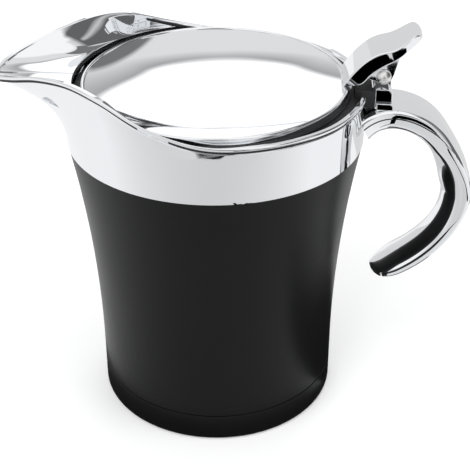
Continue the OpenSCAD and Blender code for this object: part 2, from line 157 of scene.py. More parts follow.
class LidSizes(bpy.types.PropertyGroup):
    """Sizes of the lid."""

    radius: length("Lid radius", "Radius of the lid", 0.0484)
    top: length("Bead height", "Height of the bead round the lid", 0.1313)
    bead: length("Bead width", "Width of the bead round the lid", 0.0015)
    dish: length("Dish depth", "Depth of the dish", 0.0075)
    under: length("Underside", "Height of the underside of the lid's edge", low("lid_top", 2))


class HandleSizes(bpy.types.PropertyGroup):
    """Sizes of the handle and of the post that carries the lid."""

    half_width: length("Half width", "Half the width of the strap", 0.0101)
    flare: length("Root flare", "How much wider each side gets at the collar", 0.0066)
    crown: length("Crown", "Rise of the strap's outer face over its edges", 0.00035)
    post: length("Post half width", "Half the width of the hinge post", 0.005)
    lower: length("Lower post", "Half the width of the post below the cheeks", 0.0082)
    base: length("Base half width", "Half the width of the block under the post", 0.0093)


class LeverSizes(bpy.types.PropertyGroup):
    """Sizes of the thumb lever and its pin."""

    half_width: length("Half width", "Half the width of the lever", 0.009)
    pin_x: length("Pin distance", "Distance of the pin from the axis", 0.0597)
    pin_z: length("Pin height", "Height of the pin", 0.1363)
    cheek: length("Cheek", "Thickness of each cheek", 0.0024)
    draft: number("Draft", "Slope of the lever's sides", 0.035, min=0)
    tip_draft: number("Tip draft", "Slope added towards the tip", 0.22, min=0)
    dome: length("Dome radius", "Radius of the pin's domed head", 0.0027)


class Finishes(bpy.types.PropertyGroup):
    """Colours of the finishes."""

    chrome: colour("Chrome", "Plated metal", (0.87, 0.88, 0.895))
    coat: colour("Black coat", "Satin coat of the body", (0.006, 0.006, 0.0064))
    steel: colour("Steel", "Brushed steel inside", (0.58, 0.575, 0.565))
    rubber: colour("Rubber", "Foot ring and seals", (0.02, 0.02, 0.021))
    # The dark plastic also colours the strips of painted shade under the lip, in the handle's
    # groove and in the gap round the lid
    plastic: colour("Dark plastic", "Throat ring and washers", (0.012, 0.012, 0.013))


class StageSettings(bpy.types.PropertyGroup):
    """Camera and light of the stage."""

    azimuth: number("Azimuth", "Camera azimuth", math.radians(3), subtype="ANGLE")
    elevation: number("Elevation", "Camera elevation", math.radians(32), subtype="ANGLE")
    distance: length("Distance", "From the camera to the point that it aims at", 0.45855)
    aim: FloatVectorProperty(name="Aim", description="Point that the camera aims at",
                             default=(0.00714, 0.00037, 0.06426), subtype="TRANSLATION")
    lens: number("Lens", "Focal length in millimetres", 90, min=10)
    floor: colour("Floor", "Colour of the floor", (0.86, 0.86, 0.86))
    floor_lift: number("Floor lift", "Light added to the floor for the camera alone", 0.19)
    room: number("Room light", "Strength of the light that comes from all round", 0.62)
    floor_mirrored: number("Mirrored floor", "Level of the floor seen in mirrors", 0.99)
    floor_front: number("Mirrored floor in front", "The same on the camera's side", 0.695)
    floor_behind: number("Mirrored floor behind", "The same behind the handle", 0.66)


# Curves and outlines

def clamped(x):
    """A number kept between 0 and 1."""
    return max(0.0, min(1.0, x))


def cubic(curve, t):
    """Point of a cubic curve."""
    weights = ((1 - t) ** 3, 3 * t * (1 - t) ** 2, 3 * t * t * (1 - t), t ** 3)
    return tuple(sum(w * p[i] for w, p in zip(weights, curve))
                 for i in range(len(curve[0])))


def chained(curves, steps):
    """Points along cubic curves that follow each other."""
    points = [cubic(curves[0], 0)]
    for curve in curves:
        points += [cubic(curve, i / steps) for i in range(1, steps + 1)]
    return points


def through(points, s):
    """Point at s of the smooth curve through points, s from 0 to the last index."""
    last = len(points) - 1
    i = min(int(s), last - 1)
    t = s - i
    a, b, c, d = (points[max(i - 1, 0)], points[i], points[i + 1],
                  points[min(i + 2, last)])
    return tuple(0.5 * (2 * q + (r - p) * t + (2 * p - 5 * q + 4 * r - e) * t * t
                        + (3 * q - p - 3 * r + e) * t ** 3)
                 for p, q, r, e in zip(a, b, c, d))


def resampled(points, count):
    """Points at even distances along a line of points."""
    run = [0.0]
    for a, b in zip(points, points[1:]):
        run.append(run[-1] + math.dist(a, b))
    made, i = [], 0
    for k in range(count):
        want = run[-1] * k / (count - 1)
        while i < len(points) - 2 and run[i + 1] < want:
            i += 1
        f = (want - run[i]) / (run[i + 1] - run[i])
        made.append(tuple(p + (q - p) * f for p, q in zip(points[i], points[i + 1])))
    return made


def corner(before, point, after, radius, steps=4):
    """Arc of steps + 1 points that rounds the corner at point.

    A bend takes less than half of each side. A corner that is nearly straight gets points
    close to it instead of an arc.
    """
    usable, straight, close = 0.48, math.radians(89.5), 0.02
    p = Vector(point)
    u, v = (Vector(before) - p), (Vector(after) - p)
    reach = usable * min(u.length, v.length)
    u.normalize()
    v.normalize()
    half = math.acos(max(-1, min(1, u.dot(v)))) / 2
    if half > straight:
        return [tuple(p + (v if i * 2 > steps else u) * reach * close
                      * abs(i * 2 - steps) / steps) for i in range(steps + 1)]
    back = min(radius / math.tan(half), reach)
    radius = back * math.tan(half)
    centre = p + (u + v).normalized() * radius / math.sin(half)
    a, b = p + u * back - centre, p + v * back - centre
    turn = math.pi - 2 * half
    return [tuple(centre + (a * math.sin(turn * (1 - i / steps))
                            + b * math.sin(turn * i / steps)) / math.sin(turn))
            for i in range(steps + 1)]


def rounded(points, radii, steps=4):
    """Closed outline with its corners rounded, each by its own radius."""
    made = []
    for i, (point, radius) in enumerate(zip(points, radii)):
        after = points[(i + 1) % len(points)]
        made += corner(points[i - 1], point, after, radius, steps) if radius else [point]
    return made


def arc(cx, cy, radius, start, end, steps):
    """Points of an arc, angles in degrees."""
    angles = [math.radians(start + (end - start) * i / steps) for i in range(steps + 1)]
    return [(cx + radius * math.cos(a), cy + radius * math.sin(a)) for a in angles]


# Meshes and pieces

def turned(outline, around):
    """Points and faces of a closed (radius, height) outline spun round the upright axis."""
    points, rings = [], []
    for r, z in outline:
        if r < 1e-6:
            rings.append([len(points)] * around)
            points.append((0, 0, z))
        else:
            rings.append(list(range(len(points), len(points) + around)))
            points += [(r * math.cos(2 * math.pi * k / around),
                        r * math.sin(2 * math.pi * k / around), z)
                       for k in range(around)]
    faces = []
    for a, b in zip(rings, rings[1:] + rings[:1]):
        for k in range(around):
            n = (k + 1) % around
            face = list(dict.fromkeys((a[k], a[n], b[n], b[k])))
            if len(face) > 2:
                faces.append(face)
    return points, faces


def lofted(sections, ring=False):
    """Points and faces of a skin over closed sections, which is itself a ring or capped."""
    k, n = len(sections[0]), len(sections)
    points = [p for section in sections for p in section]
    faces = []
    for i in range(n if ring else n - 1):
        j = (i + 1) % n
        faces += [(i * k + a, i * k + (a + 1) % k, j * k + (a + 1) % k, j * k + a)
                  for a in range(k)]
    if not ring:
        faces += [tuple(range(k)), tuple(range((n - 1) * k, n * k))]
    return points, faces


def slab(outline, half, edge=0.3, middle=0.0):
    """Plate with a rounded edge, half as thick each way from its middle.

    The outline is x and z, anticlockwise.
    """
    steps = 3
    sections = []
    for turn in (1, -1):
        angles = [math.pi / 2 * i / steps for i in range(steps + 1)]
        for a in angles[::turn]:
            shape = []
            for i, p in enumerate(outline):
                before, after = Vector(outline[i - 1]), Vector(outline[(i + 1) % len(outline)])
                t, d = (after - before).normalized(), edge * (1 - math.sin(a))
                shape.append((p[0] - t.y * d, p[1] + t.x * d))
            depth = middle - turn * (half - edge * (1 - math.cos(a)))
            sections.append([(x, depth, z) for x, z in shape])
    return lofted(sections)


def make_mesh(name, shapes, sharp=40):
    """One mesh of closed shapes with merged doubles, outward faces and smooth shading."""
    mesh = bpy.data.meshes.new(name)
    points, faces = [], []
    for shape_points, shape_faces in shapes:
        start = len(points)
        points += [[c * MM for c in p] for p in shape_points]
        faces += [[i + start for i in f] for f in shape_faces]
    mesh.from_pydata(points, [], faces)
    tidy_mesh(mesh, sharp)
    return mesh


def tidy_mesh(mesh, sharp=40):
    """Merges doubles, points the faces outwards and shades smooth up to an angle."""
    touching, sliver = 2e-7, 1e-8
    shell = bmesh.new()
    shell.from_mesh(mesh)
    bmesh.ops.remove_doubles(shell, verts=shell.verts, dist=touching)
    bmesh.ops.dissolve_degenerate(shell, edges=shell.edges, dist=sliver)
    bmesh.ops.recalc_face_normals(shell, faces=shell.faces)
    shell.to_mesh(mesh)
    shell.free()
    mesh.shade_smooth()
    mesh.set_sharp_from_angle(angle=math.radians(sharp))


def add_object(name, data):
    """A new object in the scene."""
    made = bpy.data.objects.new(name, data)
    bpy.context.scene.collection.objects.link(made)
    return made


def modified(name, mesh, kind, settings, inputs):
    """A copy of a mesh as one modifier leaves it."""
    obj = add_object(name + "_source", mesh)
    modifier = obj.modifiers.new(name, kind)
    for key, value in settings.items():
        setattr(modifier, key, value)
    for key, value in inputs.items():
        modifier[key] = value
    graph = bpy.context.evaluated_depsgraph_get()
    made = bpy.data.meshes.new_from_object(obj.evaluated_get(graph))
    bpy.data.objects.remove(obj)
    made.name = name
    return made


def add_piece(name, mesh, finish, body, node):
    """Adds a piece with its finish, hangs it on the empty of the body that it rides on and
    hides the node that it stands for.

    Its normals are weighted by face area, so that flat faces stay flat mirrors.
    """
    mesh = modified(name, mesh, "WEIGHTED_NORMAL",
                    {"mode": "FACE_AREA", "weight": 100, "keep_sharp": True}, {})
    obj = add_object(name, mesh)
    mesh.materials.clear()
    mesh.materials.append(finished(finish))
    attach(obj, body)
    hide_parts(node)


def add_shapes(name, shapes, finish, body, node, sharp=40):
    """Adds a piece made of closed shapes."""
    add_piece(name, make_mesh(name, shapes, sharp), finish, body, node)


# Nodes and finishes

class Value:
    """A number inside a node tree; calculating with it adds math nodes."""

    def __init__(self, socket):
        self.socket = socket

    def __add__(self, other):
        return maths("ADD", self, other)

    def __sub__(self, other):
        return maths("SUBTRACT", self, other)

    def __rsub__(self, other):
        return maths("SUBTRACT", other, self)

    def __mul__(self, other):
        return maths("MULTIPLY", self, other)


def fill(node, inputs):
    """Links or sets inputs of a node, given by name or place."""
    for place, value in dict(inputs).items():
        socket = node.inputs[place]
        if isinstance(value, Value):
            value = value.socket
        if isinstance(value, bpy.types.NodeSocket):
            node.id_data.links.new(value, socket)
        else:
            socket.default_value = value


def add_node(tree, kind, inputs=(), **settings):
    """A new node with its settings and inputs."""
    made = tree.nodes.new(kind)
    for key, value in settings.items():
        setattr(made, key, value)
    fill(made, inputs)
    return made


def maths(operation, *values):
    """The result of a math node."""
    tree = next(value.socket.id_data for value in values if isinstance(value, Value))
    return Value(add_node(tree, "ShaderNodeMath", enumerate(values),
                          operation=operation).outputs[0])


def remap(value, *ends):
    """A value taken from one range to another and kept inside it."""
    return Value(add_node(value.socket.id_data, "ShaderNodeMapRange",
                          enumerate((value, *ends))).outputs[0])


def blend(share, a, b):
    """Two numbers mixed by a share."""
    return Value(add_node(share.socket.id_data, "ShaderNodeMix",
                          {0: share, 2: a, 3: b}).outputs[0])


def tinted(share, base, darker, lighter):
    """A colour that a share takes from darker to lighter."""
    a, b = ((*(min(1.0, c * factor) for c in base), 1) for factor in (darker, lighter))
    return add_node(share.socket.id_data, "ShaderNodeMix", {0: share, 6: a, 7: b},
                    data_type="RGBA").outputs[2]


def parts_of(vector):
    """The three numbers of a vector."""
    node = add_node(vector.id_data, "ShaderNodeSeparateXYZ", {0: vector})
    return [Value(socket) for socket in node.outputs]


def spot_in(tree, space):
    """The place that is shaded, in one of the texture spaces."""
    return tree.nodes.new("ShaderNodeTexCoord").outputs[space]


def ray(tree, kind):
    """Whether a ray is of a kind, as 0 or 1."""
    return Value(tree.nodes.new("ShaderNodeLightPath").outputs[kind])


def pattern(tree, kind, scale, detail=0.0, rough=0.0, distortion=0.0):
    """Value of a pattern on the object: noise, noise brushed round the axis, or cells."""
    spot = spot_in(tree, "Object")
    if kind == "cells":
        cells = add_node(tree, "ShaderNodeTexVoronoi", {"Vector": spot, "Scale": scale})
        return Value(cells.outputs["Distance"])
    if kind == "brushed":
        x, y, z = parts_of(spot)
        radius = maths("SQRT", x * x + y * y)
        spot = add_node(tree, "ShaderNodeCombineXYZ", {0: radius, 1: z}).outputs[0]
    return Value(add_node(tree, "ShaderNodeTexNoise", {
        "Vector": spot, "Scale": scale, "Detail": detail, "Roughness": rough,
        "Distortion": distortion}).outputs["Fac"])


def blank_finish(name):
    """A new material and its node tree, which holds a shader and an output."""
    finish = bpy.data.materials.new(name)
    finish.use_nodes = True
    return finish, finish.node_tree


# A finish has a label, a slot, a colour property, how much darker and lighter its first
# pattern makes that colour, its patterns, its gloss as patterns remapped and added up, its
# relief as pattern, distance and strength, and plain inputs of its shader
Finish = namedtuple("Finish", "label slot tint shades patterns gloss relief inputs")
FINISHES = {
    # Plated metal: a mirror with a faint waviness and wiped, slightly hazy places
    "chrome": Finish(
        "Chrome plate", "chrome", "chrome", (0.975, 1.02),
        (("noise", 38, 3, 0.55), ("noise", 420, 2, 0.6, 0.4), ("noise", 55, 1, 0.4)),
        ((0, 0.3, 0.7, 0.012, 0.035), (1, 0.35, 0.75, 0.0, 0.016)),
        (2, 0.00002, 0.5), {"Metallic": 1}),
    # Satin coat: fine sprayed grain over a slow waviness
    "coat": Finish(
        "Satin black coat", "black_coat", "coat", (0.85, 1.2),
        (("noise", 26, 3, 0.6), ("noise", 3400, 2, 0.6), ("noise", 1500, 1, 0.5)),
        ((0, 0.3, 0.7, 0.30, 0.35), (2, 0.3, 0.7, 0.0, 0.04)),
        (1, 0.00002, 0.35), {"Specular IOR Level": 0.14}),
    # Steel brushed round the vessel's axis
    "steel": Finish(
        "Brushed steel", "steel", "steel", (0.82, 1.12),
        (("brushed", 5200, 3, 0.7), ("noise", 60, 2, 0.5)),
        ((0, 0.3, 0.7, 0.2, 0.3), (1, 0.3, 0.7, 0.0, 0.05)),
        (0, 0.00003, 0.4), {"Metallic": 1}),
    # Smooth steel of the pin's heads, very slightly hazy
    "polished": Finish(
        "Polished steel", "steel", "steel", (1.25, 1.4), (("noise", 240, 2, 0.5),),
        ((0, 0.3, 0.7, 0.24, 0.28),), None, {"Metallic": 1}),
    # Matte rubber with a fine tooth
    "rubber": Finish(
        "Black rubber", "rubber", "rubber", (0.8, 1.3),
        (("noise", 90, 2, 0.5), ("noise", 2600, 3, 0.65)),
        ((1, 0.3, 0.7, 0.68, 0.85),), (1, 0.00005, 0.6), {}),
    # Dark moulded plastic with a spark-eroded grain, for the throat ring and washers; it also
    # colours the dark strips of painted shade under the lip, in the handle's groove and in the
    # gap round the lid
    "plastic": Finish(
        "Dark moulded plastic", "plastic", "plastic", (0.85, 1.25),
        (("noise", 120, 2, 0.5), ("cells", 2200)),
        ((1, 0.0, 0.6, 0.42, 0.56),), (1, 0.00004, 0.4), {}),
}


def finished(key):
    """The material of one finish, made once."""
    finish = FINISHES[key]
    old = bpy.data.materials.get(finish.label)
    if old:
        return old
    made, tree = blank_finish(finish.label)
    patterns = [pattern(tree, *row) for row in finish.patterns]
    base = getattr(bpy.context.scene.boat_finishes, finish.tint)
    shader = tree.nodes["Principled BSDF"]
    i, *ends = finish.gloss[0]
    rough = remap(patterns[i], *ends)
    for i, *ends in finish.gloss[1:]:
        rough += remap(patterns[i], *ends)
    fill(shader, {"Base Color": tinted(patterns[0], base, *finish.shades),
                  "Roughness": rough, **finish.inputs})
    if finish.relief:
        i, distance, strength = finish.relief
        bump = add_node(tree, "ShaderNodeBump", {
            "Height": patterns[i], "Distance": distance, "Strength": strength})
        fill(shader, {"Normal": bump.outputs["Normal"]})
    return made


# Geometry nodes

def new_tree(name, inputs):
    """A geometry node tree with inputs of each kind, and the values of those inputs."""
    tree = bpy.data.node_groups.new(name, "GeometryNodeTree")
    for kind, labels in inputs.items():
        for label in labels:
            tree.interface.new_socket(name=label, in_out="INPUT",
                                      socket_type="NodeSocket" + kind)
    tree.interface.new_socket(name="Geometry", in_out="OUTPUT",
                              socket_type="NodeSocketGeometry")
    entry = tree.nodes.new("NodeGroupInput")
    return tree, {socket.name: Value(socket) for socket in entry.outputs if socket.name}


def close_tree(tree, geometry, material):
    """Ends a tree in Realize Instances and Set Material."""
    whole = add_node(tree, "GeometryNodeRealizeInstances", {"Geometry": geometry})
    dressed = add_node(tree, "GeometryNodeSetMaterial", {
        "Geometry": whole.outputs["Geometry"], "Material": material})
    add_node(tree, "NodeGroupOutput", {"Geometry": dressed.outputs["Geometry"]})


def baked(name, base, tree, values):
    """Runs a tree on a base mesh and returns the result as a plain mesh."""
    inputs = {item.identifier: values[item.name] for item in tree.interface.items_tree
              if item.in_out == "INPUT" and item.name in values}
    return modified(name, base, "NODES", {"node_group": tree}, inputs)


def wall_tree():
    """Closed wall that is straight at the foot and then flares on an arc."""
    tree, given = new_tree("Flared wall", {
        "Float": ("Foot radius", "Flare start", "Flare arc", "Bottom", "Top", "Wall"),
        "Int": ("Steps around", "Steps up"), "Material": ("Material",)})
    foot, start, bend, bottom, top, wall, around, upward, material = given.values()
    rows = upward * 2.0 + 2.0
    grid = add_node(tree, "GeometryNodeMeshGrid", {
        "Size X": 1, "Size Y": 1, "Vertices X": around + 1.0, "Vertices Y": rows + 1.0})
    x, y, _ = parts_of(tree.nodes.new("GeometryNodeInputPosition").outputs[0])
    angle = (x + 0.5) * (2 * math.pi)
    row = maths("ROUND", (y + 0.5) * rows)
    climb = maths("DIVIDE", maths("MINIMUM", row, rows - 1.0 - row), upward)
    inner = maths("GREATER_THAN", row, upward + 0.5) * maths("LESS_THAN", row, rows - 0.5)
    z = bottom + maths("MAXIMUM", climb, 0.0) * (top - bottom)
    rise = maths("MAXIMUM", z - start, 0.0)
    drop = maths("SQRT", bend * bend - rise * rise)
    radius = foot + (bend - drop) - inner * wall
    place = add_node(tree, "ShaderNodeCombineXYZ", {
        0: radius * maths("COSINE", angle), 1: radius * maths("SINE", angle), 2: z})
    shift = add_node(tree, "GeometryNodeSetPosition", {
        "Geometry": grid.outputs["Mesh"], "Position": place.outputs[0]})
    weld = add_node(tree, "GeometryNodeMergeByDistance", {
        "Geometry": shift.outputs["Geometry"], "Distance": 1e-6})
    close_tree(tree, weld.outputs["Geometry"], material)
    return tree


def pair_tree():
    """One fastener repeated along Y."""
    tree, given = new_tree("Row of fasteners", {
        "Geometry": ("Fastener",), "Int": ("Count",), "Vector": ("First", "Spacing"),
        "Material": ("Material",)})
    line = add_node(tree, "GeometryNodeMeshLine", {
        "Count": given["Count"], "Start Location": given["First"],
        "Offset": given["Spacing"]})
    copies = add_node(tree, "GeometryNodeInstanceOnPoints", {
        "Points": line.outputs["Mesh"], "Instance": given["Fastener"]})
    close_tree(tree, copies.outputs["Instances"], given["Material"])
    return tree


# Body

class BOAT_OT_body(bpy.types.Operator):
    """Makes the flared black wall and the cup under it"""

    bl_idname = "boat.make_body"
    bl_label = "Make body"

    def execute(self, context):
        sizes = context.scene.boat_body
        wall = baked("body_wall", bpy.data.meshes.new("body_wall_base"), wall_tree(), {
            "Foot radius": sizes.foot, "Flare start": sizes.flare_start,
            "Flare arc": sizes.flare_arc, "Bottom": sizes.seam, "Top": sizes.top,
            "Wall": sizes.wall, "Steps around": sizes.around,
            "Steps up": sizes.upward, "Material": finished("coat")})
        tidy_mesh(wall)
        add_piece("body_wall", wall, "coat", "vessel", "outer_shell")

        foot, seam = sizes.foot / MM, sizes.seam / MM
        inner = foot - sizes.wall / MM
        outline = [(0, 0.8), (36, 0.8), (36.6, 1.4), (41, 1.4), (41.4, 0.3), (foot, 0.3),
                   (foot, seam - 0.55), (foot - 0.6, seam - 0.5), (inner, seam - 0.1),
                   (inner, 3.8), (inner - 1, 2.8), (0, 2.8)]
        radii = [0, 0.3, 0.2, 0.15, 0.2, 0.9, 0.3, 0.1, 0.1, 0.3, 0.3, 0]
        cup = turned(rounded(outline, radii), sizes.around)
        add_shapes("base_cup_shell", [cup], "coat", "vessel", "base_cup")
        return {"FINISHED"}


# Collar

def rim_points(steps):
    """The whole rim, steps points to each stretch of the table."""
    half = [through(RIM_HALF, i / steps) for i in range((len(RIM_HALF) - 1) * steps + 1)]
    return half + [(x, -y, z) for x, y, z in half[-2:0:-1]]


def direction(q):
    """Distance of a rim point from the axis, and the cosine and sine of its direction."""
    rho = math.hypot(q[0], q[1])
    return rho, q[0] / rho, q[1] / rho


def upright(outline, c, s):
    """Radii and heights laid out in the upright plane of one direction."""
    return [(r * c, r * s, z) for r, z in outline]


def mouth_edge(c, s, sizes):
    """Radius of the round mouth in the direction with cosine c and sine s."""
    mouth, shift = sizes.mouth / MM, sizes.mouth_shift / MM
    return -shift * c + math.sqrt(mouth ** 2 - (shift * s) ** 2)


def collar_section(q, sizes, top_r):
    """Closed outline of the collar in the upright plane through one rim point."""
    joint, wall = sizes.joint / MM, sizes.wall / MM
    lip, lip_out = sizes.lip / MM, sizes.lip_out / MM
    rim_wall, floor_drop, bore, widest = 2.5, 0.9, 50.4, 62
    (rho, c, s), h = direction(q), q[2]
    edge = mouth_edge(c, s, sizes)
    if q[0] > 0:
        edge = max(edge, rho - rim_wall)
    floor = min(sizes.spout_floor / MM, h - floor_drop)
    roof = floor - wall
    skin_r = top_r + 0.1
    part = clamped(q[0] / RIM_HALF[-1][0]) ** 0.8

    def skin(t):
        return (skin_r + (rho - lip_out - skin_r) * t ** (1.25 + 0.85 * part),
                joint + (h - lip - joint) * t)

    under, side, crown = (rho - lip_out, h - lip), (rho, h - lip), (rho, h)
    inner = (max(rho - 1.9, edge + 0.45), h - 0.05)
    basin_in, basin_out = edge + 0.2, max(rho - 2.2, edge + 0.35)
    basin = [(basin_in + (basin_out - basin_in) * f,
              floor + (h - 0.7 - floor) * f ** (1.2 + 0.5 * part))
             for f in (i / 14 for i in range(14, -1, -1))]
    outline = [skin(i / 30) for i in range(27)]
    groove = [skin(1 - 1.2 / (h - lip - joint)), (rho - lip_out - 0.1, h - lip - 1),
              (rho - lip_out - 0.5, h - lip - 0.9), (rho - lip_out - 0.5, h - lip)]
    outline += corner(skin(0.88), groove[0], groove[1], 0.15, 3)
    outline += corner(groove[0], groove[1], groove[2], 0.1, 2)
    outline += corner(groove[1], groove[2], groove[3], 0.15, 2)
    outline += corner(groove[2], groove[3], side, 0.15, 2)
    outline += corner(under, side, crown, 0.25, 3)
    outline += corner(side, crown, inner, 0.75, 6)
    outline += corner(crown, inner, basin[0], 0.35, 4)
    outline += basin
    outline += [(edge + 0.05, floor - 0.12), (edge, floor - 0.4), (edge, roof + 0.6)]
    cavity = [skin(i / 9) for i in range(8, 0, -1)]
    outline += [(max(edge + 0.1, min(widest, r - wall)), min(z, roof)) for r, z in cavity]
    outline += [(max(edge + 0.1, top_r - wall - 1), joint + 2.4), (bore, joint + 2.4),
                (bore, joint + 0.6), (top_r - 1.5, joint + 0.6), (top_r - 1.5, joint)]
    return upright(outline, c, s)


class BOAT_OT_collar(bpy.types.Operator):
    """Makes the chromed collar, a dark strip of painted shade under its lip and a dark ring of
    painted shade in the gap round the lid
    """

    bl_idname = "boat.make_collar"
    bl_label = "Make collar"

    def execute(self, context):
        sizes = context.scene.boat_collar
        body = context.scene.boat_body
        rise = sizes.joint - body.flare_start
        top_r = (body.foot + body.flare_arc
                 - math.sqrt(body.flare_arc ** 2 - rise ** 2)) / MM
        rim = rim_points(14)
        moulding = lofted([collar_section(q, sizes, top_r) for q in rim], ring=True)
        add_shapes("collar_moulding", [moulding], "chrome", "vessel", "collar", 50)

        # A thin dark strip tucked under the lip: painted shade for the shade under the rolled
        # lip
        line = []
        for q in rim:
            rho, c, s = direction(q)
            out, top = rho - sizes.lip_out / MM - 0.2, q[2] - sizes.lip / MM
            line.append(upright(((out - 0.7, top - 0.93), (out, top - 0.93),
                                 (out, top + 0.1), (out - 0.7, top + 0.1)), c, s))
        add_shapes("lip_line", [lofted(line, ring=True)], "plastic", "vessel", "collar")

        # A dark ring in the gap between the lid and the rim on the handle's side: painted
        # shade for the shaded gap
        gap_shade, bottom = [], 125
        for q in rim_points(6):
            rho, c, s = direction(q)
            inner, outer = mouth_edge(c, s, sizes) - 0.3, rho - 2.2
            if outer > inner + 0.2 and q[0] > 0:
                gap_shade.append((math.atan2(s, c), upright((
                    (inner, bottom), (outer, bottom), (outer, q[2] - 1.5),
                    (inner, q[2] - 1.8)), c, s)))
        ring = lofted([section for _, section in sorted(gap_shade)])
        # A dark block behind the hinge post: painted shade as well
        block = [(50, 124), (57.3, 124), (57.3, 130.6), (50.6, 130.6), (50, 130)]
        add_shapes("rim_well", [ring, slab(block, 7.6)], "plastic", "vessel", "collar")
        return {"FINISHED"}


# Lid

def dish_height(r, sizes):
    """Height of the dish at a radius."""
    rim = (sizes.radius - sizes.bead) / MM
    depth, edge = sizes.dish / MM, sizes.top / MM - 0.7
    ball = (rim ** 2 + depth ** 2) / (2 * depth)
    return edge - depth + ball - math.sqrt(ball ** 2 - r * r)


class BOAT_OT_lid(bpy.types.Operator):
    """Makes the dished lid with its bead"""

    bl_idname = "boat.make_lid"
    bl_label = "Make lid"

    def execute(self, context):
        sizes = context.scene.boat_lid
        rim, radius = (sizes.radius - sizes.bead) / MM, sizes.radius / MM
        top, under, bead = sizes.top / MM, sizes.under / MM, sizes.bead / MM
        dish = [(rim * i / 48, dish_height(rim * i / 48, sizes)) for i in range(49)]
        outline = dish + arc(rim + bead / 2, top - bead / 2, bead / 2, 160, 10, 12)
        thick, shelf = 1.2, 44
        outline += [(radius, top - bead / 2 - 0.3), (radius, under + 0.15),
                    (radius - 0.15, under), (shelf, under)]
        outline += [(r, z - thick) for r, z in dish[43::-3]]
        outline += [(0, dish[0][1] - thick)]
        add_shapes("lid_dish", [turned(outline, 192)], "chrome", "lid", "lid_top")
        return {"FINISHED"}


# Handle

def tongue(x):
    """Share of the full width left at the round free end of the handle."""
    start, reach, least = 72, 11.1, 0.06
    return math.sqrt(max(least, 1 - (max(0.0, start - x) / reach) ** 2))


def normals_along(line):
    """Unit vectors to the right of a line of (x, z) points."""
    made = []
    for i in range(len(line)):
        a, b = line[max(i - 1, 0)], line[min(i + 1, len(line) - 1)]
        d = (Vector(b) - Vector(a)).normalized()
        made.append((d.y, -d.x))
    return made


def handle_side(place):
    """What HANDLE_SIDES says at a place, evened out over the steps around it."""
    def row(at):
        for a, b in zip(HANDLE_SIDES, HANDLE_SIDES[1:]):
            if at <= b[0]:
                f = max(0.0, (at - a[0]) / (b[0] - a[0]))
                return [p + (q - p) * f for p, q in zip(a[1:], b[1:])]
        return HANDLE_SIDES[-1][1:]

    return [sum(column) / 5 for column in zip(*(row(place + k) for k in range(-2, 3)))]


def handle_outline(half, start, lean, turn, depth, edge, crown):
    """Half of the handle's section as (half width, depth), from the outer face inwards."""
    edge = min(edge, 0.45 * half)
    lean = math.radians(lean)
    turn = min(turn, 0.9 * half, (depth - start - 0.02) / (1 - math.sin(lean)))
    outline = [(f * (half - edge), crown * f * f) for f in (0.3, 0.6, 0.85)]
    outline += [(half - edge * (1 - math.sin(a)), crown + edge * (1 - math.cos(a)))
                for a in (math.pi / 12 * i for i in range(7))]

    def turned_under(a):
        return (half - turn * (math.cos(lean) - math.cos(a)),
                start + turn * (math.sin(a) - math.sin(lean)))

    # The turn goes on to the angle from which a smooth curve reaches the whole depth
    least, most = lean + 0.02, math.pi / 2
    for _ in range(30):
        a = (least + most) / 2
        w, d = turned_under(a)
        least, most = (a, most) if d + w / math.tan(a) / 2 > depth else (least, a)
    outline += [turned_under(lean + (most - lean) * i / 12) for i in range(13)]
    w, d = outline[-1]
    return outline + [(w * f, depth - (depth - d) * f * f) for f in (0.8, 0.6, 0.4, 0.2)]


def handle_section(point, across, outline, near, far):
    """Closed section of the part of an outline that lies between two depths."""
    def width(depth):
        for (w0, d0), (w1, d1) in zip(outline, outline[1:]):
            if d0 <= depth < d1:
                return w0 + (w1 - w0) * (depth - d0) / (d1 - d0)
        return outline[-1][0]

    held = [(width(near), near) if d < near else (width(far), far) if d > far else (w, d)
            for w, d in outline]
    return section_at(point, across, held + [(-w, d) for w, d in reversed(held)])


def section_at(point, across, outline):
    """Widths and depths laid out across the handle's line at one point."""
    return [(point[0] + across[0] * d, y, point[1] + across[1] * d) for y, d in outline]


